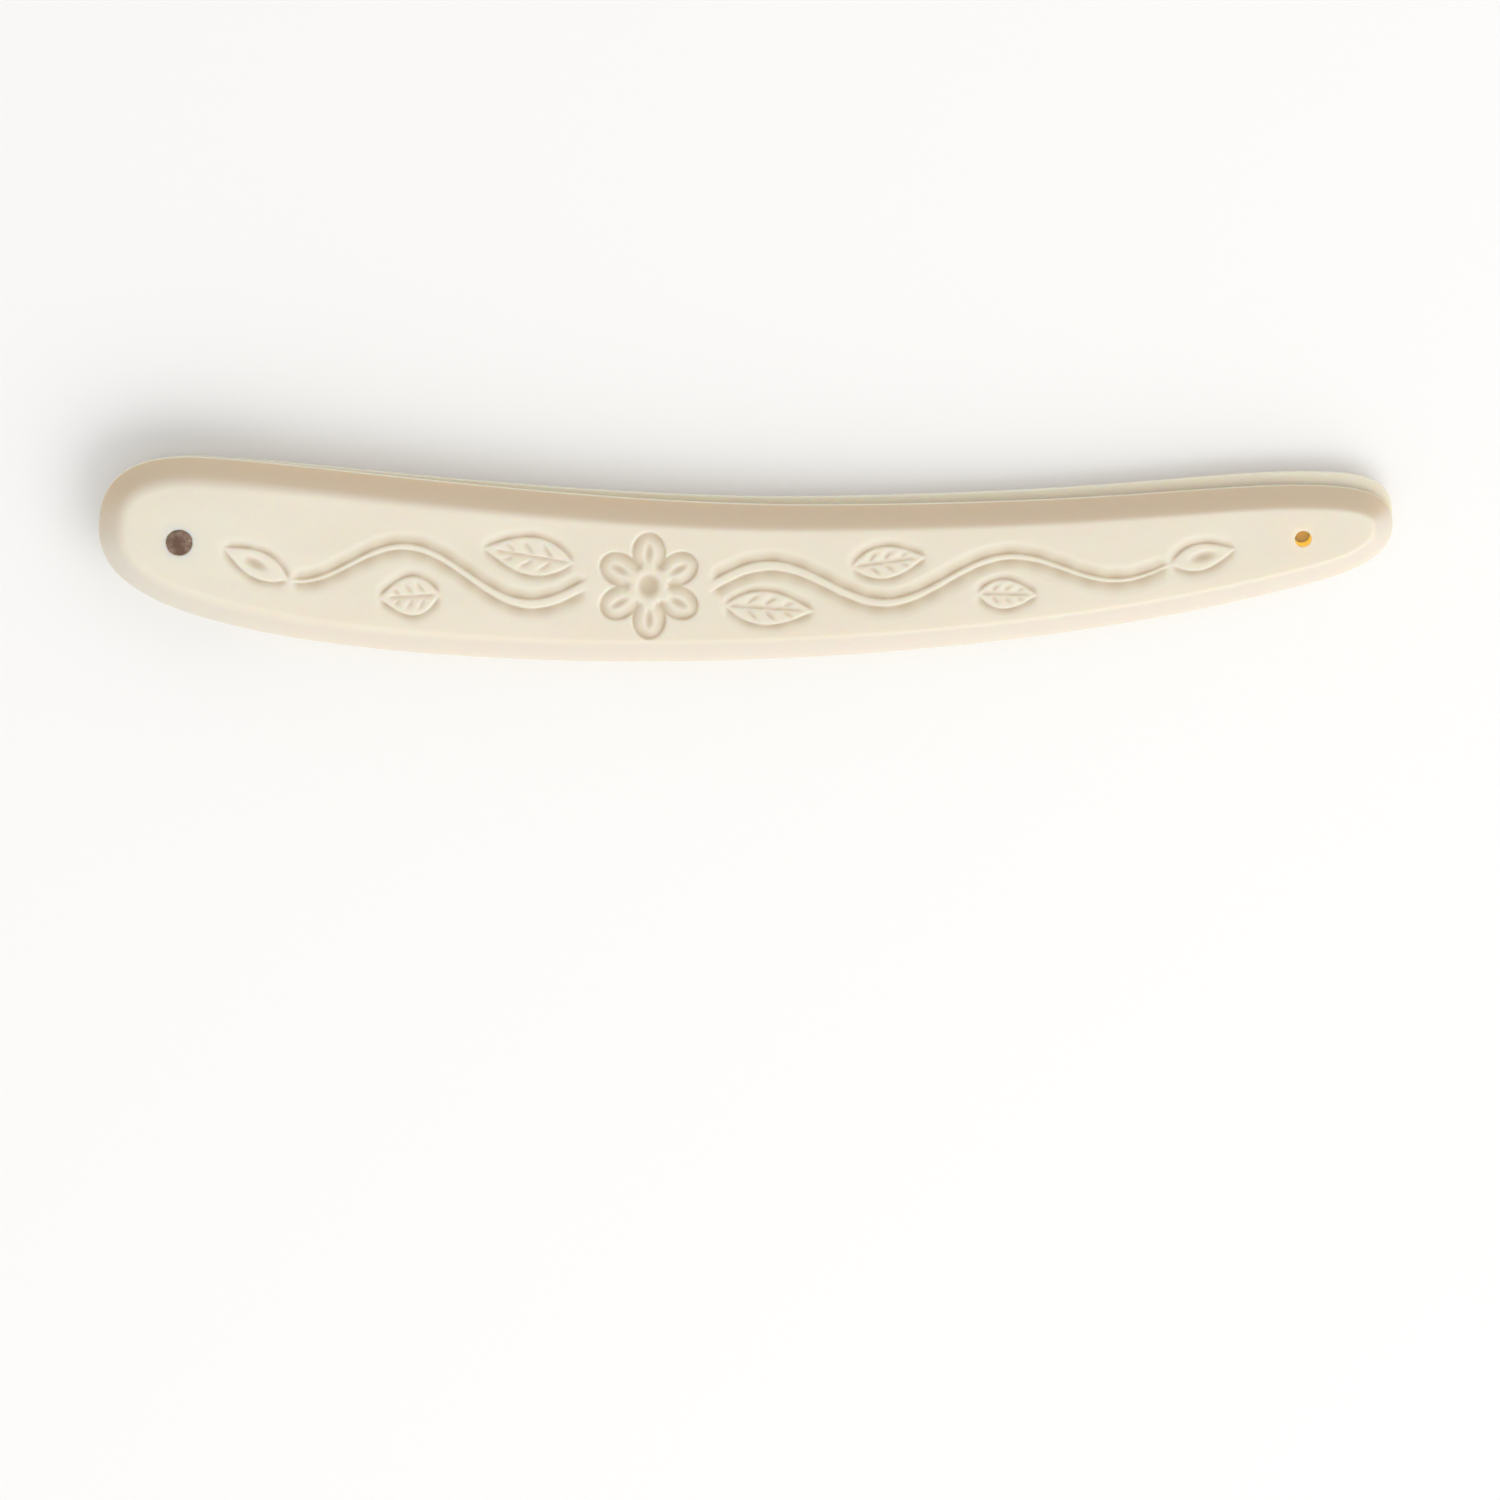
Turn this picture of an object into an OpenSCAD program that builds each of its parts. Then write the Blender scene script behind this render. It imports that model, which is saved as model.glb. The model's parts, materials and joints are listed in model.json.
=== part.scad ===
// Handle of a straight razor: two carved scales, joined at the wide end by one pin
// through a tapered wedge. The other end has the open pivot holes where a blade goes.
// It lies on the outer face of its back scale. The origin is the centre of that scale's
// pivot hole on its outer face, +X runs from the wedge pin to the pivot hole, and +Y
// points to the hollow edge. The pivot holes and the wedge pin stand along Z.

/* [Scales] */
// Distance between the wedge pin and the pivot hole
pin_spacing = 132; // [128:0.5:134]
// Thickness of one scale
scale_t = 2.8; // [2.4:0.1:3.5]
// Height of the square edge wall that is left below the bevel
wall_h = 0.7; // [0.5:0.05:1]
// Width of the bevel at the narrow end
bevel_nose = 2.6; // [1.5:0.1:3]
// Width of the bevel at the wide end
bevel_toe = 3.4; // [2:0.1:4]
// Diameter of the pivot hole in each scale
pivot_d = 2; // [1.5:0.1:3]
// How far each scale's wide end stands off the line of the two pins, to its own side
toe_offset = 0.3; // [0:0.05:0.5]

/* [Wedge] */
// Thickness of the wedge at the tip of the wide end
wedge_t = 3; // [2:0.1:4]
// Gap between the scales at the pivot hole, with no blade in it
pivot_gap = 0.5; // [0.3:0.1:1.5]
// Distance from the wedge pin to the wedge's inner end
wedge_reach = 6.5; // [4:0.5:12]
// How far the wedge's rim stands back from the edges of the scales
wedge_inset = 0.4; // [0.3:0.1:1]

/* [Wedge pin] */
// Diameter of the pin's shank
pin_d = 2; // [1.6:0.1:2.4]
// Diameter of the pin's two peened heads
head_d = 3; // [2.6:0.1:3.6]
// Depth of the countersink that each head fills
head_h = 0.6; // [0.4:0.05:1]
// Radial clearance in the back scale, which turns on the pin
pin_play = 0.03; // [0.01:0.01:0.1]

/* [Rest] */
// Angle by which the two scales stand out of line, in degrees
swing = 0.6; // [0:0.1:5]

/* [Hidden] */

bone = [0.93, 0.9, 0.82];
steps = 12;          // points along each stretch of the pattern
seat_play = 0.02;    // the wedge's clearance above the scale that turns on it
head_sink = 0.05;    // the heads stand this far below the scales' outer faces
edge_break = 0.15;   // size of the broken edge round each scale's inner face
through = 1;         // how far a cutter runs past a face

pin_x = -pin_spacing;
// The pattern's nodes: x, y, direction of travel, handle before it, handle after it.
// They run clockwise from the tip of the wide end, over the hollow edge first.
pattern_nodes = [
    [-141.6, 0.7, 90, 7, 5],
    [-131, 9.5, 0, 8.4, 9],
    [-58, 3.7, 0, 29, 34],
    [-1, 6, 0, 11, 7.5],
    [10.7, 1.2, -90, 4.2, 3.2],
    [2.5, -5.4, -164, 5, 28],
    [-78, -15.2, -180, 22, 12],
    [-127, -10.5, -195, 15, 5.5],
];
toe_x = pattern_nodes[0].x;
nose_x = pattern_nodes[4].x;

back_inner = scale_t;                         // height of the back scale's inner face
slope = atan((wedge_t - pivot_gap) / -toe_x); // how the front scale leans to the nose
pin_top = front_z(pin_x) - head_sink;

// Height of the front scale's inner face at x, and of its outer face.
function front_inner(x) = back_inner + pivot_gap - x * tan(slope);
function front_z(x) = front_inner(x) + scale_t / cos(slope);

function along(a) = [cos(a), sin(a)];
function curve(a, b, c, d, t) = a * pow(1 - t, 3) + 3 * b * t * pow(1 - t, 2)
    + 3 * c * t * t * (1 - t) + d * pow(t, 3);
function curve_slope(a, b, c, d, t) = 3 * (b - a) * pow(1 - t, 2)
    + 6 * (c - b) * t * (1 - t) + 3 * (d - c) * t * t;

// A node's place, and the ends of the handles before and after it.
function place(n) = [n[0], n[1]];
function before(n) = place(n) - along(n[2]) * n[3];
function after(n) = place(n) + along(n[2]) * n[4];

// Width of the bevel at x.
function bevel_at(x) = bevel_nose + (bevel_toe - bevel_nose) * (nose_x - x) / (nose_x - toe_x);

// The pattern's outline, moved inwards by a fixed amount and by a share of the bevel.
function pattern(inset = 0, share = 0) = [
    for (k = [0 : len(pattern_nodes) - 1], i = [0 : steps - 1])
        let (
            m = pattern_nodes[k],
            n = pattern_nodes[(k + 1) % len(pattern_nodes)],
            p = curve(place(m), after(m), before(n), place(n), i / steps),
            v = curve_slope(place(m), after(m), before(n), place(n), i / steps),
            u = v / norm(v),
            width = inset + share * bevel_at(p.x)
        )
        p + width * [u.y, -u.x]
];

// The scale's rings from its inner face out: inset, share of the bevel, height.
bevel_h = scale_t - wall_h;
rings = [
    [edge_break, 0, 0],
    [0, 0, edge_break],
    [0, 0, wall_h],
    [0, 0.5, wall_h + bevel_h * 0.62],
    [0, 0.85, wall_h + bevel_h * 0.94],
    [0, 1, scale_t],
];

// A scale with its inner face on z = 0 and its bevelled face up. Both faces are laid out
// in strips from one long edge to the other, from the wide tip to the narrow one.
module scale_blank() {
    count = steps * len(pattern_nodes);
    half = count / 2;
    last = (len(rings) - 1) * count;
    points = [for (r = rings, p = pattern(r[0], r[1])) [p.x, p.y, r[2]]];
    sides = [
        for (k = [0 : len(rings) - 2], i = [0 : count - 1])
            let (j = (i + 1) % count, a = k * count)
            [a + i, a + j, a + count + j, a + count + i]
    ];
    strips = concat(
        [[0, 1, count - 1]],
        [for (i = [1 : half - 2]) [i, i + 1, count - i - 1, count - i]],
        [[half - 1, half, half + 1]]
    );
    over = [for (s = strips) [for (i = s) last + i]];
    under = [for (s = strips) [for (k = [len(s) - 1 : -1 : 0]) s[k]]];
    polyhedron(points, concat(under, sides, over), convexity = 4);
}

// Puts the front side where it stands, out of line with the back scale.
module front_side() {
    translate([pin_x, 0, 0]) rotate([0, 0, -swing]) translate([-pin_x, 0, 0]) children();
}

// Tilts what is drawn on z = 0 into the plane of the front scale's inner face.
module on_front_plane() {
    translate([0, 0, front_inner(0)]) rotate([0, slope, 0]) children();
}

module hole(x, d, top) {
    translate([x, 0, -through]) cylinder(d = d, h = top + 2 * through, $fn = 64);
}

// The pin's solid, from z = low to z = high, wider all round by play.
module pin_shape(low, high, play) {
    r = pin_d / 2 + play;
    head_r = head_d / 2 + play;
    rotate_extrude($fn = 64)
        polygon([
            [0, low], [head_r, low], [r, low + head_h],
            [r, high - head_h], [head_r, high], [0, high],
        ]);
}

module front_scale() {
    color(bone) front_side() difference() {
        on_front_plane() rotate([0, 0, -atan(toe_offset / pin_spacing)]) scale_blank();
        hole(0, pivot_d, front_z(0));
        translate([pin_x, 0, 0]) pin_shape(-through, pin_top, 0);
        translate([pin_x, 0, pin_top]) cylinder(d = head_d, h = through, $fn = 64);
    }
}

module back_scale() {
    color(bone) difference() {
        translate([0, 0, back_inner]) mirror([0, 0, 1])
            rotate([0, 0, atan(toe_offset / pin_spacing)]) scale_blank();
        hole(0, pivot_d, back_inner);
        translate([pin_x, 0, 0]) pin_shape(head_sink, pin_top, pin_play);
        translate([pin_x, 0, -through])
            cylinder(r = head_d / 2 + pin_play, h = through + head_sink, $fn = 64);
    }
}

module wedge() {
    height = front_inner(toe_x) + through;
    color([0.12, 0.11, 0.1]) front_side() difference() {
        linear_extrude(height) polygon(pattern(wedge_inset));
        translate([pin_x + wedge_reach, -pin_spacing, -through])
            cube([2 * pin_spacing, 2 * pin_spacing, height + 2 * through]);
        translate([toe_x - through, -pin_spacing, -through])
            cube([2 * pin_spacing, 2 * pin_spacing, through + back_inner + seat_play]);
        on_front_plane() translate([toe_x - 5 * through, -pin_spacing, 0])
            cube([2 * pin_spacing, 2 * pin_spacing, 5 * through]);
        hole(pin_x, pin_d, height);
    }
}

module wedge_pin() {
    color([0.5, 0.42, 0.36]) front_side() translate([pin_x, 0, 0])
        pin_shape(head_sink, pin_top, 0);
}

front_scale();
back_scale();
wedge();
wedge_pin();
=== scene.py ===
import json
import math

import bmesh
import bpy
import numpy as np
from mathutils import Euler, Matrix, Vector, noise


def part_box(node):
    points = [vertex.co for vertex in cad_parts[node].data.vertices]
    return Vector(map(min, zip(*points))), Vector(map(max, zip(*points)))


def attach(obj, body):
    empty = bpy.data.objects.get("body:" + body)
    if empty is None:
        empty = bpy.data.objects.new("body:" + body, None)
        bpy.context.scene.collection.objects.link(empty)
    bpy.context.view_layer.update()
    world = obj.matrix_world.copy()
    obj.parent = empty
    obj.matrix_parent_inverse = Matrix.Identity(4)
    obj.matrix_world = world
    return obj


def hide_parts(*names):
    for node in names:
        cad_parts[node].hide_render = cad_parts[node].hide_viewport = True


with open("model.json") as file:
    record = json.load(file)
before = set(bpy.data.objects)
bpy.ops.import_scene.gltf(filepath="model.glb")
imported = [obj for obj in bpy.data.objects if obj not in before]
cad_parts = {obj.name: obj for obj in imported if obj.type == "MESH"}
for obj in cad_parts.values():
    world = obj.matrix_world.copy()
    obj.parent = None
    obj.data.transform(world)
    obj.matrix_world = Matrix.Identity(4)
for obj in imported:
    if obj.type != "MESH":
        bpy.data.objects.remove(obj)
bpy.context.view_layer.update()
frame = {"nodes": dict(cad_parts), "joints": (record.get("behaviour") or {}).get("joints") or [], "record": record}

mm = 0.001
mounts = {mount["name"]: mount for mount in frame["record"]["mounts"]}
pinX, pinY = frame["joints"][0]["pos_m"][:2]
holeX, holeY, holeTop = mounts["pivot_hole_front"]["pos_m"]
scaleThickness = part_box("back_scale")[1][2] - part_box("back_scale")[0][2]


studio = {
    "tilt": 14.0,            # degrees that the camera leans towards the hollow edge
    "roll": 0.55,            # degrees that the handle is turned in the picture
    "pictureWidth": 0.1776,  # metres across the picture, at the handle
    "distance": 0.9,
    "aimPast": (0.0007, -0.0263),  # metres from the middle of the pin line to the picture's middle
    "floorTone": (0.985, 0.985, 0.98),
    "skyBright": 0.95,
    "skyDim": 0.66,
    "dimSide": (-0.55, 0.83, 0),  # the sky is dim above the hollow edge and the wide end
    "keyPower": 3.75,
    "keyFrom": (0.5, -0.55),   # metres from the picture's middle to the key light
    "keyHeight": 0.65,
    "keySize": 1.1,
    "keyColour": (1, 0.99, 0.965),
}


def areaLight(name, place, target, size, power, colour):
    lamp = bpy.data.lights.new(name, "AREA")
    lamp.shape = "DISK"
    lamp.size = size
    lamp.energy = power
    lamp.color = colour
    light = bpy.data.objects.new(name, lamp)
    light.location = place
    light.rotation_euler = (Vector(target) - Vector(place)).to_track_quat("-Z", "Y").to_euler()
    bpy.context.collection.objects.link(light)


def makeStudio():
    scene = bpy.context.scene
    scene.view_settings.view_transform = "Standard"
    aim = Vector(((pinX + holeX) / 2 + studio["aimPast"][0], studio["aimPast"][1], holeTop))
    cameraData = bpy.data.cameras.new("camera")
    cameraData.lens = cameraData.sensor_width * studio["distance"] / studio["pictureWidth"]
    cameraData.clip_end = 20
    camera = bpy.data.objects.new("camera", cameraData)
    lean = Euler((math.radians(-studio["tilt"]), 0, 0)).to_matrix()
    roll = Matrix.Rotation(math.radians(-studio["roll"]), 3, "Z")
    camera.rotation_euler = (lean @ roll).to_euler()
    camera.location = aim + lean @ Vector((0, 0, studio["distance"]))
    bpy.context.collection.objects.link(camera)
    scene.camera = camera

    keyX, keyY = studio["keyFrom"]
    keyPlace = (aim.x + keyX, aim.y + keyY, studio["keyHeight"])
    areaLight("keyLight", keyPlace, aim, studio["keySize"], studio["keyPower"], studio["keyColour"])
    sky = bpy.data.worlds.new("softSky")
    sky.use_nodes = True
    tree = sky.node_tree
    towardsDim = node(tree, "ShaderNodeVectorMath", operation="DOT_PRODUCT")
    tree.links.new(node(tree, "ShaderNodeTexCoord").outputs["Generated"], towardsDim.inputs[0])
    towardsDim.inputs[1].default_value = studio["dimSide"]
    facing = towardsDim.outputs["Value"]
    strength = mapRange(tree, facing, -0.7, 0.7, studio["skyBright"], studio["skyDim"])
    background = tree.nodes["Background"]
    background.inputs["Color"].default_value = (1, 0.99, 0.98, 1)
    tree.links.new(strength, background.inputs["Strength"])
    scene.world = sky

    bm = bmesh.new()
    bmesh.ops.create_grid(bm, x_segments=8, y_segments=8, size=2)
    bmesh.ops.translate(bm, verts=bm.verts, vec=(aim.x, 0, -0.00002))
    floor = meshObject("floor", bm)
    floor.data.materials.append(floorPaper())


def meshObject(name, bm):
    mesh = bpy.data.meshes.new(name)
    bm.to_mesh(mesh)
    bm.free()
    piece = bpy.data.objects.new(name, mesh)
    bpy.context.collection.objects.link(piece)
    return piece


def newMaterial(name):
    material = bpy.data.materials.new(name)
    material.use_nodes = True
    tree = material.node_tree
    return material, tree, tree.nodes["Principled BSDF"]


def node(tree, kind, **settings):
    made = tree.nodes.new(kind)
    for key, value in settings.items():
        setattr(made, key, value)
    return made


def noiseTexture(tree, source, scale, detail=3.0, roughness=0.5, stretch=None):
    if stretch:
        mapping = node(tree, "ShaderNodeMapping")
        mapping.inputs["Scale"].default_value = stretch[0]
        mapping.inputs["Rotation"].default_value[2] = math.radians(stretch[1])
        tree.links.new(source, mapping.inputs["Vector"])
        source = mapping.outputs["Vector"]
    texture = node(tree, "ShaderNodeTexNoise")
    texture.inputs["Scale"].default_value = scale
    texture.inputs["Detail"].default_value = detail
    texture.inputs["Roughness"].default_value = roughness
    tree.links.new(source, texture.inputs["Vector"])
    return texture.outputs["Fac"]


def mapRange(tree, source, low, high, outLow=0.0, outHigh=1.0):
    ranged = node(tree, "ShaderNodeMapRange", clamp=True)
    for name, value in (("From Min", low), ("From Max", high), ("To Min", outLow), ("To Max", outHigh)):
        ranged.inputs[name].default_value = value
    tree.links.new(source, ranged.inputs["Value"])
    return ranged.outputs["Result"]


def maths(tree, operation, first, second):
    step = node(tree, "ShaderNodeMath", operation=operation)
    for socket, value in zip(step.inputs, (first, second)):
        if isinstance(value, (int, float)):
            socket.default_value = value
        else:
            tree.links.new(value, socket)
    return step.outputs["Value"]


def mixColour(tree, factor, first, second):
    mix = node(tree, "ShaderNodeMix", data_type="RGBA")
    tree.links.new(factor, mix.inputs["Factor"])
    for socket, value in zip((mix.inputs["A"], mix.inputs["B"]), (first, second)):
        if isinstance(value, tuple):
            socket.default_value = (*value, 1)
        else:
            tree.links.new(value, socket)
    return mix.outputs["Result"]


def bump(tree, height, strength, distance, onto=None):
    step = node(tree, "ShaderNodeBump")
    step.inputs["Strength"].default_value = strength
    step.inputs["Distance"].default_value = distance
    tree.links.new(height, step.inputs["Height"])
    if onto:
        tree.links.new(onto, step.inputs["Normal"])
    return step.outputs["Normal"]


scaleShape = {
    # the pattern's nodes: x, y, direction of travel, handle before, handle after
    "pattern": [
        (-141.6, 0.7, 90, 7, 5),
        (-131, 9.5, 0, 8.4, 9),
        (-58, 3.7, 0, 29, 34),
        (-1, 6, 0, 11, 7.5),
        (10.7, 1.2, -90, 4.2, 3.2),
        (2.5, -5.4, -164, 5, 28),
        (-78, -15.2, -180, 22, 12),
        (-127, -10.5, -195, 15, 5.5),
    ],
    "bevelNose": 2.6,
    "bevelToe": 3.4,
    "bevelCurve": 1.45,   # 1 is a flat bevel, more rounds its inner edge off
    "wallHeight": 0.7,
    "toeOffset": 0.3,     # the wide end's distance from the pin line, to the scale's own side
    "faceCells": (720, 80),
    "cornerTurns": (7.5, 0.5, 3.6, 4.45),  # corners of the flat face, in pattern stretches
}
bevelRings = (0.93, 0.86, 0.78, 0.69, 0.59, 0.49, 0.39, 0.29, 0.2, 0.12, 0.055, 0.018)
wallRings = ((0, 0.62), (0, 0.35), (0, 0.12), (0.04, 0.04), (0.12, 0))  # inset, height

patternNodes = np.array(scaleShape["pattern"], float)
headings = np.radians(patternNodes[:, 2])
headingVectors = np.stack([np.cos(headings), np.sin(headings)], axis=1)
nodePlaces = patternNodes[:, :2]
handlesBefore = nodePlaces - headingVectors * patternNodes[:, 3:4]
handlesAfter = nodePlaces + headingVectors * patternNodes[:, 4:5]


def patternPoint(turn, inset=0.0, share=0.0):
    # a point on the pattern's edge, moved inwards; turn counts the stretches between nodes
    turn = np.asarray(turn, float) % len(patternNodes)
    first = turn.astype(int)
    second = (first + 1) % len(patternNodes)
    t = (turn - first)[:, None]
    a, b = nodePlaces[first], handlesAfter[first]
    c, d = handlesBefore[second], nodePlaces[second]
    point = a * (1 - t)**3 + 3 * b * t * (1 - t)**2 + 3 * c * t**2 * (1 - t) + d * t**3
    travel = (b - a) * (1 - t)**2 + 2 * (c - b) * t * (1 - t) + (d - c) * t**2
    travel /= np.linalg.norm(travel, axis=1)[:, None]
    nose, toe = patternNodes[4, 0], patternNodes[0, 0]
    along = (nose - point[:, 0]) / (nose - toe)
    bevel = scaleShape["bevelNose"] + (scaleShape["bevelToe"] - scaleShape["bevelNose"]) * along
    inwards = np.stack([travel[:, 1], -travel[:, 0]], axis=1)
    return point + inwards * (inset + share * bevel)[:, None]


def evenTurns(first, last, count, axis):
    dense = np.linspace(first, last, 4001)
    line = patternPoint(dense, 0, 1)[:, axis]
    return np.interp(np.linspace(line[0], line[-1], count + 1), line, dense)


def flatFace(bm, turnLayer):
    # a grid stretched over the flat face inside the bevel
    across, up = scaleShape["faceCells"]
    bottomLeft, topLeft, topRight, bottomRight = scaleShape["cornerTurns"]
    bmesh.ops.create_grid(bm, x_segments=across, y_segments=up, size=0.5)
    spots = np.array([vert.co[:2] for vert in bm.verts])
    spots = (spots - spots.min(axis=0)) / (spots.max(axis=0) - spots.min(axis=0))
    column = np.rint(spots[:, 0] * across).astype(int)
    row = np.rint(spots[:, 1] * up).astype(int)
    u, v = spots[:, :1], spots[:, 1:]
    topTurns = evenTurns(topLeft, topRight, across, 0)
    bottomTurns = evenTurns(bottomLeft, bottomRight, across, 0)
    leftTurns = evenTurns(bottomLeft, topLeft + 8, up, 1)
    rightTurns = evenTurns(bottomRight, topRight, up, 1)
    top, bottom = patternPoint(topTurns, 0, 1), patternPoint(bottomTurns, 0, 1)
    left, right = patternPoint(leftTurns, 0, 1), patternPoint(rightTurns, 0, 1)
    corners = (bottom[0] * (1 - u) * (1 - v) + bottom[-1] * u * (1 - v)
               + top[0] * (1 - u) * v + top[-1] * u * v)
    places = (bottom[column] * (1 - v) + top[column] * v
              + left[row] * (1 - u) + right[row] * u - corners)
    for index, vert in enumerate(bm.verts):
        vert.co = (*places[index], scaleThickness / mm)
        if row[index] in (0, up):
            vert[turnLayer] = (topTurns if row[index] else bottomTurns)[column[index]]
        elif column[index] in (0, across):
            vert[turnLayer] = (rightTurns if column[index] else leftTurns)[row[index]]


def addRing(bm, edges, turnLayer, inset, share, height):
    grown = bmesh.ops.extrude_edge_only(bm, edges=edges)["geom"]
    verts = [item for item in grown if isinstance(item, bmesh.types.BMVert)]
    places = patternPoint([vert[turnLayer] for vert in verts], inset, share)
    for vert, place in zip(verts, places):
        vert.co = (*place, height)
    return [item for item in grown if isinstance(item, bmesh.types.BMEdge) and item.is_boundary]


def scaleBlank():
    bm = bmesh.new()
    turnLayer = bm.verts.layers.float.new("turn")
    flatFace(bm, turnLayer)
    edges = [edge for edge in bm.edges if edge.is_boundary]
    rise = scaleThickness / mm - scaleShape["wallHeight"]
    for share in bevelRings:
        height = scaleShape["wallHeight"] + rise * (1 - (1 - share)**scaleShape["bevelCurve"])
        edges = addRing(bm, edges, turnLayer, 0, share, height)
    for inset, height in wallRings:
        edges = addRing(bm, edges, turnLayer, inset, 0, height)
    bmesh.ops.edgeloop_fill(bm, edges=edges)
    bmesh.ops.recalc_face_normals(bm, faces=bm.faces)
    return bm


# A stroke has a steep wall on its line and a gentle slope to one side: 1 is to the left of
# its travel and -1 to the right. The ornament is a plain flower, stem and leaves.
cuts = {
    "main": {"depth": 0.27, "width": 1.3, "taper": 1.3, "curve": 1.6},
    "band": {"depth": 0.28, "width": 1.5, "taper": 1.3, "curve": 1.0},
    "petal": {"depth": 0.28, "width": 1.6, "taper": 0.8, "curve": 1.3},
    "vein": {"depth": 0.2, "width": 0.8, "taper": 1.0, "curve": 1.2},
    "steepWidth": 0.34,
}

ornament = {
    "flowerX": -77,
    "petals": 6,
    "petalReach": (1.7, 6.3),   # from the flower's centre to a petal's root and tip
    "petalHalf": 1.85,
    "bossSize": 2.6,
    "stemStart": 7.2,           # distance from the flower's centre, along the handle
    "stemLengths": (35, 54),    # towards the wide end and towards the narrow end
    "waveLength": 28,
    "waveHeight": 0.4,          # as a share of the face's half width
    "stemHalf": 0.75,
    "leafLengths": (11, 7.5),   # the first leaf and the last on a stem
    "leafHalf": 0.34,           # as a share of the face's half width
    "veinPlaces": (0.22, 0.42, 0.62),
    "budLength": 8,
}


def faceMiddle(x):
    # the flat face's middle line and its half width
    top = patternPoint(np.linspace(0.5, 3.6, 400), 0, 1)
    bottom = patternPoint(np.linspace(7.5, 4.45, 400), 0, 1)
    high = np.interp(x, top[:, 0], top[:, 1])
    low = np.interp(x, bottom[:, 0], bottom[:, 1])
    return (high + low) / 2, (high - low) / 2


def flowerCuts():
    centre = np.array([ornament["flowerX"], faceMiddle(ornament["flowerX"])[0]])
    root, tip = ornament["petalReach"]
    strokes, gouges = [], [(*centre, ornament["bossSize"], ornament["bossSize"], 0, 0.42)]
    sweep = np.radians(np.linspace(20, 340, 13))
    for petal in range(ornament["petals"]):
        angle = 360 / ornament["petals"] * (petal + 0.5)
        turn = math.radians(angle)
        outwards = np.array([math.cos(turn), math.sin(turn)])
        sideways = np.array([-outwards[1], outwards[0]])
        reach = root + (tip - root) * (1 - np.cos(sweep)) / 2
        across = -ornament["petalHalf"] * np.sin(sweep)
        strokes.append((centre + reach[:, None] * outwards + across[:, None] * sideways, "petal", 1))
        gouges.append((*(centre + outwards * (root + tip) / 2), 2.7, 0.95, angle, 0.25))
    return strokes, gouges


def leafCuts(base, tip, halfWidth, veined=True):
    # a lens-shaped leaf with a steep outline and even veins
    base, tip = np.array(base), np.array(tip)
    length = np.linalg.norm(tip - base)
    outwards = (tip - base) / length
    sideways = np.array([-outwards[1], outwards[0]])

    def spot(along, across):
        widest = halfWidth * math.sin(math.pi * along**0.85)
        return base + outwards * length * along + sideways * widest * across

    strokes = []
    for side in (1, -1):
        strokes.append(([spot(along, side) for along in np.linspace(0, 1, 8)], "main", side))
    if veined:
        strokes.append(([spot(along, 0) for along in (0.04, 0.35, 0.65, 0.88)], "vein", 1))
        for along in ornament["veinPlaces"]:
            for side in (1, -1):
                vein = [spot(along, 0), spot(along + 0.08, 0.4 * side), spot(along + 0.17, 0.78 * side)]
                strokes.append((vein, "vein", 1))
    return strokes


def stemCuts(direction, firstWave):
    # a waving stem from the flower to one end, with a leaf in each of its hollows
    strokes, gouges = [], []
    length = ornament["stemLengths"][0 if direction < 0 else 1]
    start = ornament["flowerX"] + direction * ornament["stemStart"]
    travelled = np.linspace(0, length, 25)
    middle, half = faceMiddle(start + direction * travelled)
    wave = firstWave * ornament["waveHeight"] * np.sin(2 * math.pi * travelled / ornament["waveLength"])
    thin = ornament["stemHalf"] * (1 - 0.6 * travelled / length)
    line = np.stack([start + direction * travelled, middle + half * wave], axis=1)
    for side in (1, -1):
        edge = line + np.stack([0 * thin, side * thin], axis=1)
        strokes.append((edge, "band", side * direction))
    hollows = int(length / ornament["waveLength"] * 2)
    for hollow in range(hollows):
        centre = start + direction * ornament["waveLength"] * (hollow / 2 + 0.25)
        side = -firstWave * (-1)**hollow
        share = hollow / max(hollows - 1, 1)
        leafLength = ornament["leafLengths"][0] * (1 - share) + ornament["leafLengths"][1] * share
        baseX, tipX = centre - direction * leafLength / 2, centre + direction * leafLength / 2
        (baseMiddle, baseHalf), (tipMiddle, tipHalf) = faceMiddle(baseX), faceMiddle(tipX)
        base = (baseX, baseMiddle + side * 0.34 * baseHalf)
        tip = (tipX, tipMiddle + side * 0.5 * tipHalf)
        strokes += leafCuts(base, tip, ornament["leafHalf"] * faceMiddle(centre)[1])
    tipX = line[-1, 0] + direction * ornament["budLength"]
    tip = (tipX, faceMiddle(tipX)[0])
    strokes += leafCuts(line[-1], tip, 1.7, False)
    budMiddle = (line[-1] + tip) / 2
    heading = math.degrees(math.atan2(tip[1] - line[-1, 1], tip[0] - line[-1, 0]))
    gouges.append((*budMiddle, 3.2, 1.2, heading, 0.28))
    return strokes, gouges


def ornamentCuts(firstWave):
    # firstWave is 1 or -1: the two scales have their stems and leaves the other way up
    strokes, gouges = flowerCuts()
    for direction in (-1, 1):
        moreStrokes, moreGouges = stemCuts(direction, firstWave * direction)
        strokes += moreStrokes
        gouges += moreGouges
    return {"strokes": strokes, "gouges": gouges}


def smoothPath(points):
    points = np.array(points, float)
    ends = np.vstack([2 * points[0] - points[1], points, 2 * points[-1] - points[-2]])
    t = np.linspace(0, 1, 9)[:-1, None]
    stretches = []
    for a, b, c, d in zip(ends, ends[1:], ends[2:], ends[3:]):
        bend = (2 * a - 5 * b + 4 * c - d) * t**2 + (3 * b - a - 3 * c + d) * t**3
        stretches.append(b + 0.5 * ((c - a) * t + bend))
    return np.vstack([*stretches, points[-1:]])


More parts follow.
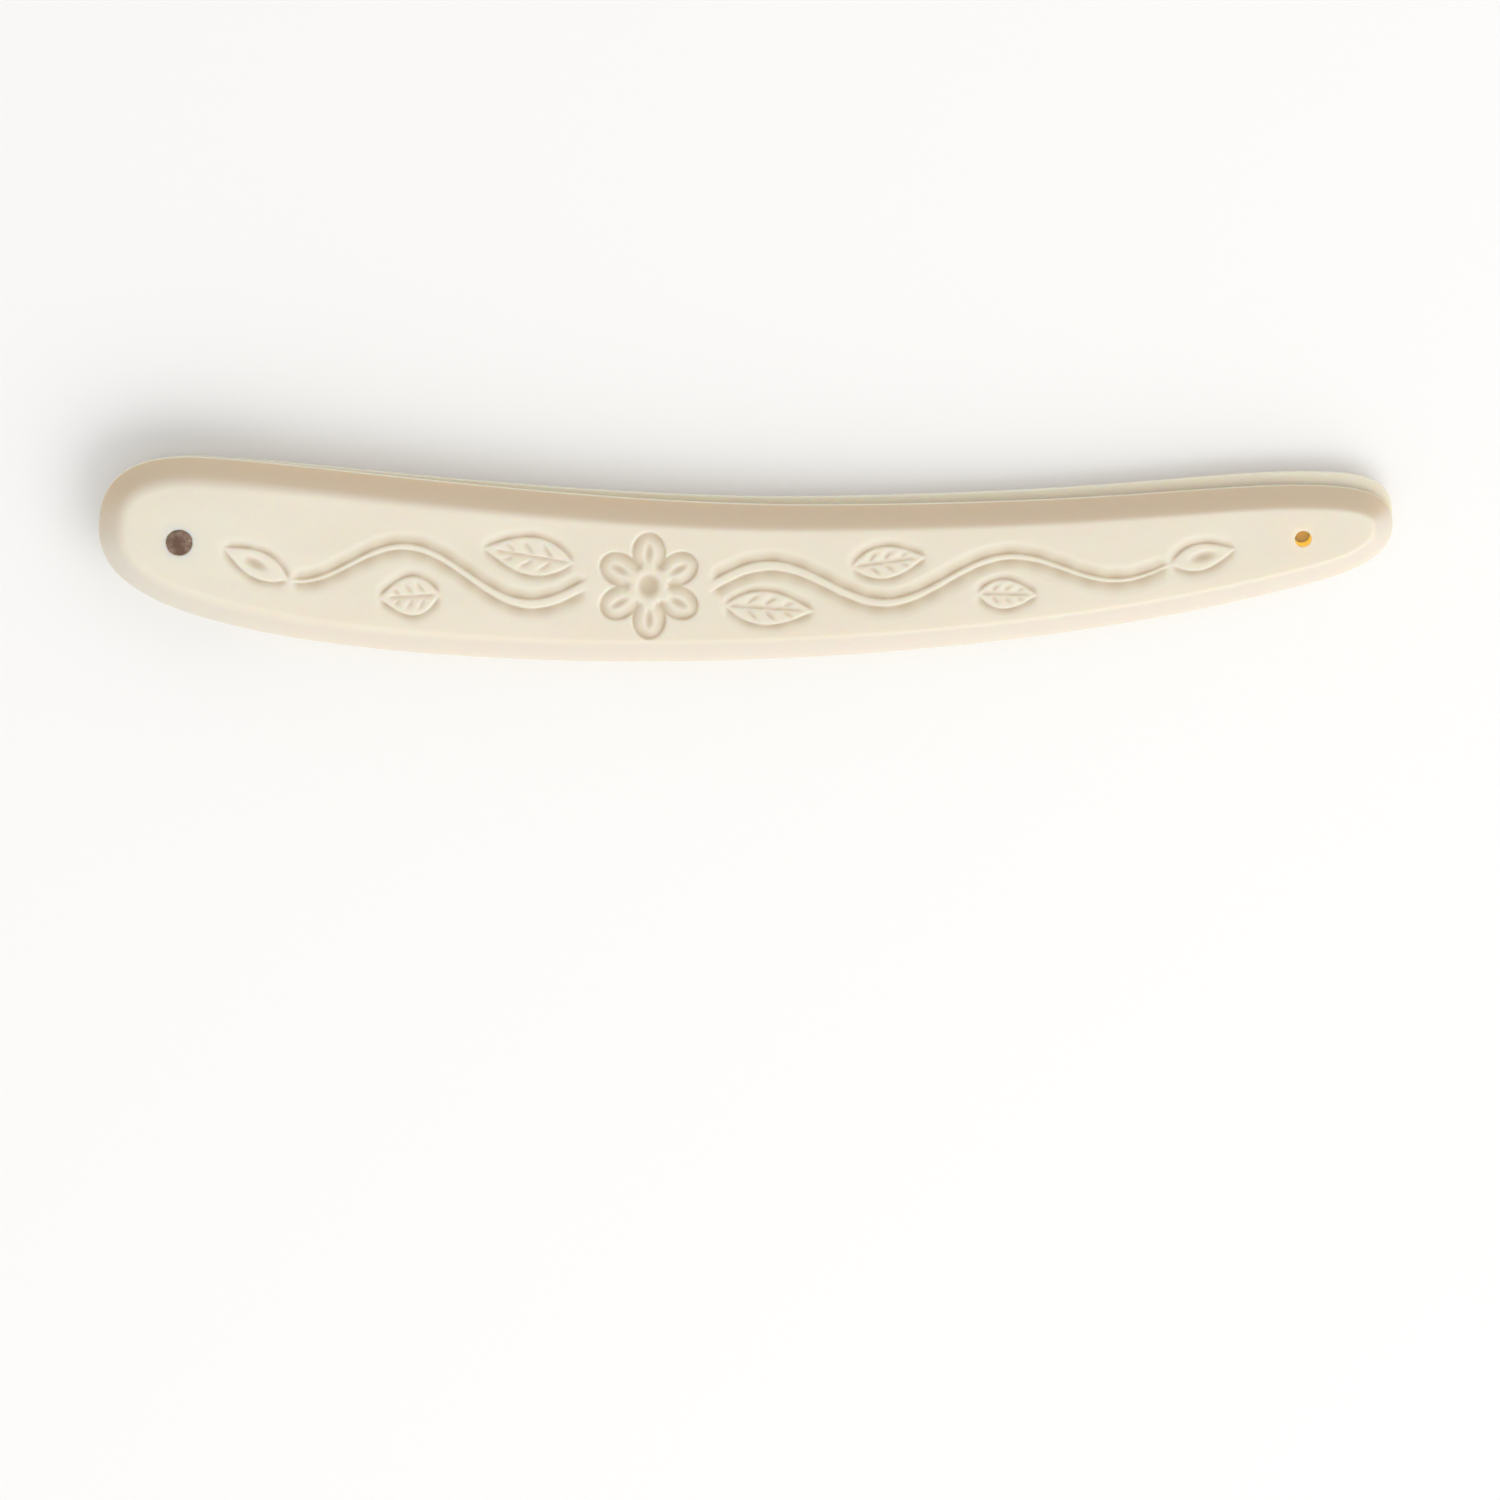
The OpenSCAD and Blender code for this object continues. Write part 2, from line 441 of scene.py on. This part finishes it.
def smoothStep(value):
    value = np.clip(value, 0, 1)
    return value * value * (3 - 2 * value)


def strokeDepth(places, points, style, gentleSide):
    # how deep one stroke cuts at each of the places
    path = smoothPath(points)
    reach = style["width"] + 0.1
    low, high = path.min(axis=0) - reach, path.max(axis=0) + reach
    near = np.nonzero(((places > low) & (places < high)).all(axis=1))[0]
    depth = np.zeros(len(places))
    if len(near) == 0:
        return depth
    starts, steps = path[:-1], np.diff(path, axis=0)
    lengths = np.linalg.norm(steps, axis=1)
    travelled = np.concatenate([[0], np.cumsum(lengths)])
    away = places[near, None] - starts[None]
    share = np.clip((away * steps).sum(axis=2) / lengths**2, 0, 1)
    gaps = np.linalg.norm(away - share[..., None] * steps, axis=2)
    nearest = gaps.argmin(axis=1)
    rows = np.arange(len(near))
    gap = gaps[rows, nearest]
    step, offset = steps[nearest], away[rows, nearest]
    side = np.sign(step[:, 0] * offset[:, 1] - step[:, 1] * offset[:, 0])
    arc = travelled[nearest] + share[rows, nearest] * lengths[nearest]
    fromEnd = np.minimum(arc, travelled[-1] - arc)
    taper = smoothStep(fromEnd / min(style["taper"], travelled[-1] / 2) * 0.8 + 0.2)
    gentle = np.clip(1 - gap / (style["width"] * (0.5 + 0.5 * taper)), 0, 1)**style["curve"]
    steep = smoothStep(1 - gap / cuts["steepWidth"])
    waver = 1 + 0.1 * np.sin(arc * 1.9 + path[0, 0])
    depth[near] = style["depth"] * taper * waver * np.where(side * gentleSide > 0, gentle, steep)
    return depth


def gougeDepth(places, gouge):
    x, y, length, width, angle, depth = gouge
    turn = math.radians(angle)
    away = places - (x, y)
    length, width = length * 1.15, width * 1.3
    alongIt = (away[:, 0] * math.cos(turn) + away[:, 1] * math.sin(turn)) / (length / 2)
    acrossIt = (away[:, 1] * math.cos(turn) - away[:, 0] * math.sin(turn)) / (width / 2)
    return depth * np.clip(1 - (alongIt**2 + acrossIt**2) / 1.3, 0, 1)**1.5


def carvingDepth(places, carving):
    depth = np.zeros(len(places))
    for points, style, gentleSide in carving["strokes"]:
        depth = np.maximum(depth, strokeDepth(places, points, cuts[style], gentleSide))
    for gouge in carving["gouges"]:
        depth = np.maximum(depth, gougeDepth(places, gouge))
    return depth


# the pin's holes, in metres, a little wider than the pin
pinHole = {"shankRadius": 0.00104, "headRadius": 0.0016, "coneDepth": 0.0006}
lowPinFace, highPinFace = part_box("wedge_pin")[0][2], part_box("wedge_pin")[1][2]


def scalePlacement(front):
    # from the pattern's millimetres to the part's place, for either scale
    toeTurn = math.atan(scaleShape["toeOffset"] * mm / (holeX - pinX))
    if not front:
        return (Matrix.Translation((0, 0, scaleThickness)) @ Matrix.Scale(-1, 4, (0, 0, 1))
                @ Matrix.Rotation(toeTurn, 4, "Z") @ Matrix.Scale(mm, 4))
    toeX = patternNodes[0, 0] * mm
    innerAtHole = holeTop + 0.05 * mm - scaleThickness
    slope = math.atan((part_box("wedge")[1][2] - innerAtHole) / -(toeX + 0.4 * mm))
    swing = math.atan2(-holeY, holeX - pinX)
    pinPlace = Matrix.Translation((pinX, pinY, 0))
    return (pinPlace @ Matrix.Rotation(-swing, 4, "Z") @ pinPlace.inverted()
            @ Matrix.Translation((0, 0, innerAtHole)) @ Matrix.Rotation(slope, 4, "Y")
            @ Matrix.Rotation(-toeTurn, 4, "Z") @ Matrix.Scale(mm, 4))


def turnedSolid(bm, profile, place, segments=64):
    # a closed solid of revolution about a line along Z; the profile is radius, height
    rings = []
    for radius, height in profile:
        if radius == 0:
            rings.append([bm.verts.new((place[0], place[1], height))])
            continue
        ring = []
        for index in range(segments):
            angle = 2 * math.pi * index / segments
            x, y = place[0] + radius * math.cos(angle), place[1] + radius * math.sin(angle)
            ring.append(bm.verts.new((x, y, height)))
        rings.append(ring)
    for lower, upper in zip(rings, rings[1:]):
        for index in range(segments):
            following = (index + 1) % segments
            if len(lower) == 1:
                bm.faces.new((lower[0], upper[following], upper[index]))
            elif len(upper) == 1:
                bm.faces.new((lower[index], lower[following], upper[0]))
            else:
                bm.faces.new((lower[index], lower[following], upper[following], upper[index]))


def holeCutter(front, placement):
    bm = bmesh.new()
    pivot = (holeX, holeY) if front else (0, 0)
    turnedSolid(bm, [(0, -0.002), (0.001, -0.002), (0.001, 0.012), (0, 0.012)], pivot)
    shank, head, cone = pinHole["shankRadius"], pinHole["headRadius"], pinHole["coneDepth"]
    if front:
        profile = [(0, 0.003), (shank, 0.003), (shank, highPinFace - cone)]
        profile += [(head, highPinFace), (head, 0.012), (0, 0.012)]
    else:
        profile = [(0, -0.004), (head, -0.004), (head, lowPinFace)]
        profile += [(shank, lowPinFace + cone), (shank, 0.005), (0, 0.005)]
    turnedSolid(bm, profile, (pinX, pinY))
    bmesh.ops.transform(bm, matrix=placement.inverted(), verts=bm.verts)
    bmesh.ops.recalc_face_normals(bm, faces=bm.faces)
    return meshObject("holeCutter", bm)


def cutWith(piece, cutter):
    modifier = piece.modifiers.new("holes", "BOOLEAN")
    modifier.operation = "DIFFERENCE"
    modifier.solver = "EXACT"
    modifier.object = cutter
    depsgraph = bpy.context.evaluated_depsgraph_get()
    cutMesh = bpy.data.meshes.new_from_object(piece.evaluated_get(depsgraph))
    piece.modifiers.clear()
    piece.data = cutMesh
    bpy.data.objects.remove(cutter)


def makeScale(nodeName, carving, body):
    front = nodeName == "front_scale"
    placement = scalePlacement(front)
    toeTurn = math.atan(scaleShape["toeOffset"] * mm / (holeX - pinX)) * (1 if front else -1)
    turnBack = np.array([[math.cos(toeTurn), math.sin(toeTurn)], [-math.sin(toeTurn), math.cos(toeTurn)]])
    bm = scaleBlank()
    spots = np.array([vert.co for vert in bm.verts])
    depth = carvingDepth(spots[:, :2] @ turnBack.T, carving)
    depth *= np.clip((spots[:, 2] - 0.9) / 0.5, 0, 1)
    for vert, cut in zip(bm.verts, depth):
        vert.co.z -= cut
    piece = meshObject(nodeName.replace("_s", "S") + "Carved", bm)
    cutWith(piece, holeCutter(front, placement))
    spots = np.array([vert.co for vert in piece.data.vertices])
    # the carving's depth, kept to darken the colour in the grooves as painted shade
    grime = carvingDepth(spots[:, :2] @ turnBack.T, carving) * (spots[:, 2] > 0.9)
    # painted shade: every bevel's colour is darkened towards the bevel colour, blending in softly at the wide end
    # and sharply at the narrow end
    softness = np.interp(spots[:, 0], (-125, -70), (0.6, 0.16))
    below = np.clip((scaleThickness / mm - spots[:, 2] - grime - 0.02) / softness, 0, 1)
    below *= spots[:, 2] > scaleShape["wallHeight"] + 0.01
    facing = np.array([vert.normal for vert in piece.data.vertices])
    # painted shade: the bevels facing the hollow edge and the wide end are darkened further, fully on the front
    # scale and faintly on the back
    upwards = facing[:, 1] * 1.6 - np.minimum(facing[:, 0], 0) * 0.7
    hollow = below * smoothStep(upwards) * (1 if front else 0.15)
    for name, values in (("grime", grime / 0.25), ("bevel", below), ("hollowBevel", hollow)):
        layer = piece.data.attributes.new(name, "FLOAT", "POINT")
        layer.data.foreach_set("value", values.astype(np.float32))
    piece.data.transform(placement)
    if not front:
        piece.data.flip_normals()
    piece.data.set_sharp_from_angle(angle=math.radians(38))
    piece.data.materials.clear()
    piece.data.materials.append(ivoryCelluloid(nodeName, front))
    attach(piece, body)
    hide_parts(nodeName)
    print(nodeName, "triangles", sum(len(face.vertices) - 2 for face in piece.data.polygons))


ivory = {
    "face": (0.82, 0.76, 0.63),
    "pale": (0.86, 0.81, 0.69),
    # painted shade: the bevel colour darkens all the bevels as if they were turned from the light
    "bevel": (0.77, 0.71, 0.615),
    # painted shade on the bevels facing the hollow edge and the wide end
    "hollowBevel": (0.69, 0.575, 0.42),
    # painted shade in the carved grooves
    "groove": (0.62, 0.50, 0.33),
    # the raw core's amber, used as colour round the hole and for the painted glow on the hole's wall
    "amber": (0.46, 0.26, 0.006),
    "roughness": 0.3,
    "subsurface": 0.7,
    "glowRadius": (0.0022, 0.0013, 0.0006),
    # painted light: the strength of the glow given to the hole's wall
    "amberGlow": 0.9,
}


def ivoryCelluloid(name, front):
    material, tree, shader = newMaterial("ivory" + name.title().replace("_", ""))
    coordinates = node(tree, "ShaderNodeTexCoord").outputs["Object"]
    cloud = noiseTexture(tree, coordinates, 60, 4, 0.6, ((0.35, 1, 1), 0))
    body = mixColour(tree, mapRange(tree, cloud, 0.35, 0.68), ivory["face"], ivory["pale"])
    # painted shade on all the bevels
    bevel = node(tree, "ShaderNodeAttribute", attribute_name="bevel").outputs["Fac"]
    body = mixColour(tree, bevel, body, ivory["bevel"])
    # painted shade on the bevels that face the hollow edge and the wide end
    hollow = node(tree, "ShaderNodeAttribute", attribute_name="hollowBevel").outputs["Fac"]
    body = mixColour(tree, hollow, body, ivory["hollowBevel"])
    # painted shade in the grooves, deeper cuts darker
    grime = node(tree, "ShaderNodeAttribute", attribute_name="grime").outputs["Fac"]
    body = mixColour(tree, mapRange(tree, grime, 0.25, 1.1, 0, 0.75), body, ivory["groove"])

    split = node(tree, "ShaderNodeSeparateXYZ")
    tree.links.new(coordinates, split.inputs["Vector"])
    x, y, z = split.outputs
    holePlace = (holeX, holeY) if front else (0, 0)
    away = maths(tree, "POWER", maths(tree, "SUBTRACT", x, holePlace[0]), 2)
    away = maths(tree, "ADD", away, maths(tree, "POWER", maths(tree, "SUBTRACT", y, holePlace[1]), 2))
    away = maths(tree, "SQRT", away, 0)
    if front:
        inside = mapRange(tree, z, holeTop - 0.0001, holeTop - 0.0006)
    else:
        inside = mapRange(tree, z, 0.0001, 0.0006)
    # painted light: the ring round the hole is tinted amber, partly the raw core's colour and partly painted light
    # coming through, and the hole's wall glows amber though it is no lamp
    amberCoreAndThroughLight = maths(tree, "MULTIPLY", mapRange(tree, away, 0.0021, 0.0011), inside)
    wall = maths(tree, "MULTIPLY", mapRange(tree, away, 0.00107, 0.00102), inside)
    body = mixColour(tree, maths(tree, "MULTIPLY", amberCoreAndThroughLight, 0.3), body, ivory["amber"])
    tree.links.new(body, shader.inputs["Base Color"])
    shader.inputs["Emission Color"].default_value = (*ivory["amber"], 1)
    tree.links.new(maths(tree, "MULTIPLY", wall, ivory["amberGlow"]), shader.inputs["Emission Strength"])

    shader.inputs["Roughness"].default_value = ivory["roughness"]
    shader.inputs["IOR"].default_value = 1.5
    shader.inputs["Subsurface Weight"].default_value = ivory["subsurface"]
    shader.inputs["Subsurface Radius"].default_value = ivory["glowRadius"]
    shader.inputs["Subsurface Scale"].default_value = 1
    ripple = noiseTexture(tree, coordinates, 900, 2, 0.5, ((0.6, 1, 1), 20))
    scratches = noiseTexture(tree, coordinates, 500, 3, 0.6, ((0.06, 2.2, 1), 4))
    normal = bump(tree, ripple, 0.12, 0.0001)
    tree.links.new(bump(tree, scratches, 0.1, 0.00008, normal), shader.inputs["Normal"])
    return material


wedgeLook = {"colour": (0.014, 0.012, 0.011), "roughness": 0.42}


def dressWedge():
    material, tree, shader = newMaterial("wedgeBlack")
    coordinates = node(tree, "ShaderNodeTexCoord").outputs["Object"]
    shader.inputs["Base Color"].default_value = (*wedgeLook["colour"], 1)
    shader.inputs["Roughness"].default_value = wedgeLook["roughness"]
    filing = noiseTexture(tree, coordinates, 900, 2, 0.5, ((1, 1, 0.08), 0))
    tree.links.new(bump(tree, filing, 0.3, 0.00008), shader.inputs["Normal"])
    wedge = frame["nodes"]["wedge"]
    wedge.data.materials.clear()
    wedge.data.materials.append(material)


pinLook = {
    "metal": (0.17, 0.105, 0.075),
    "worn": (0.36, 0.26, 0.2),
    "copper": (0.42, 0.26, 0.17),   # the back head is brighter, in patches
    "steel": (0.62, 0.62, 0.64),
    "roughness": 0.5,
    "shankRadius": 0.001,
    "headRadius": 0.0015,
    "headDepth": 0.0006,
    "dome": (0.00004, 0.00004),   # how far the front and back heads stand up in the middle
    "ragged": 0.07,               # the rim's wander, as a share of the head's radius
    "nickAngle": 0.3,             # the small nick in the front head's rim
    "nickDepth": 0.00016,
}


def makeWedgePin():
    shank, head, cone = pinLook["shankRadius"], pinLook["headRadius"], pinLook["headDepth"]
    wedgeRun = 0.1408  # from the pivot hole to the wedge's tip
    slope = (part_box("wedge")[1][2] - (holeTop + 0.05 * mm - scaleThickness)) / wedgeRun
    bm = bmesh.new()
    profile = [(0, lowPinFace - pinLook["dome"][1])]
    for share in (0.3, 0.55, 0.75, 0.9, 0.98):
        profile.append((head * share, lowPinFace - pinLook["dome"][1] * (1 - share**2)))
    profile += [(head, lowPinFace + 0.00003), (head - 0.00008, lowPinFace + 0.00012)]
    profile.append((shank, lowPinFace + cone))
    profile += [(shank, 0.004), (shank, highPinFace - cone)]
    profile += [(head - 0.00008, highPinFace - 0.00012), (head, highPinFace - 0.00003)]
    for share in (0.98, 0.9, 0.75, 0.55, 0.3):
        profile.append((head * share, highPinFace + 0.00003 + pinLook["dome"][0] * (1 - share**2)))
    profile.append((0, highPinFace + 0.00003 + pinLook["dome"][0]))
    turnedSolid(bm, profile, (pinX, pinY), 96)
    for vert in bm.verts:
        away = Vector((vert.co.x - pinX, vert.co.y - pinY))
        if away.length > shank * 1.02:
            wander = noise.noise(Vector((away.x, away.y, vert.co.z * 0.2)) / away.length * 2.3)
            if vert.co.z > 0.004 and abs(math.atan2(away.y, away.x) - 0.1) < pinLook["nickAngle"] / 2:
                vert.co.z -= pinLook["nickDepth"] * (away.length / head)**6
            away *= 1 + pinLook["ragged"] * wander
            vert.co.x, vert.co.y = pinX + away.x, pinY + away.y
        if vert.co.z > highPinFace - cone:
            vert.co.z -= (vert.co.x - pinX) * slope
        rough = noise.noise(Vector(vert.co) * 900)
        vert.co.z += rough * 0.00003 * (1 if away.length < head else 0)
    bmesh.ops.recalc_face_normals(bm, faces=bm.faces)
    for face in bm.faces:
        face.smooth = True
    pin = meshObject("peenedPin", bm)
    pin.data.set_sharp_from_angle(angle=math.radians(35))

    material, tree, shader = newMaterial("tarnishedPin")
    coordinates = node(tree, "ShaderNodeTexCoord").outputs["Object"]
    blotch = noiseTexture(tree, coordinates, 700, 3, 0.6)
    height = node(tree, "ShaderNodeSeparateXYZ")
    tree.links.new(coordinates, height.inputs["Vector"])
    backShare = mapRange(tree, height.outputs["Z"], 0.005, 0.003)
    frontColour = mixColour(tree, mapRange(tree, blotch, 0.42, 0.72), pinLook["metal"], pinLook["worn"])
    backColour = mixColour(tree, mapRange(tree, blotch, 0.44, 0.6), pinLook["copper"], pinLook["steel"])
    colour = mixColour(tree, backShare, frontColour, backColour)
    tree.links.new(colour, shader.inputs["Base Color"])
    shader.inputs["Metallic"].default_value = 0.85
    shader.inputs["Roughness"].default_value = pinLook["roughness"]
    tree.links.new(bump(tree, blotch, 0.4, 0.0001), shader.inputs["Normal"])
    pin.data.materials.append(material)
    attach(pin, "front_side")
    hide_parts("wedge_pin")


def floorPaper():
    material, tree, shader = newMaterial("floorPaper")
    shader.inputs["Base Color"].default_value = (*studio["floorTone"], 1)
    shader.inputs["Roughness"].default_value = 0.9
    return material


makeScale("front_scale", ornamentCuts(1), "front_side")
makeScale("back_scale", ornamentCuts(-1), "back_side")
dressWedge()
makeWedgePin()
print("pieces made")
makeStudio()
print("studio made")
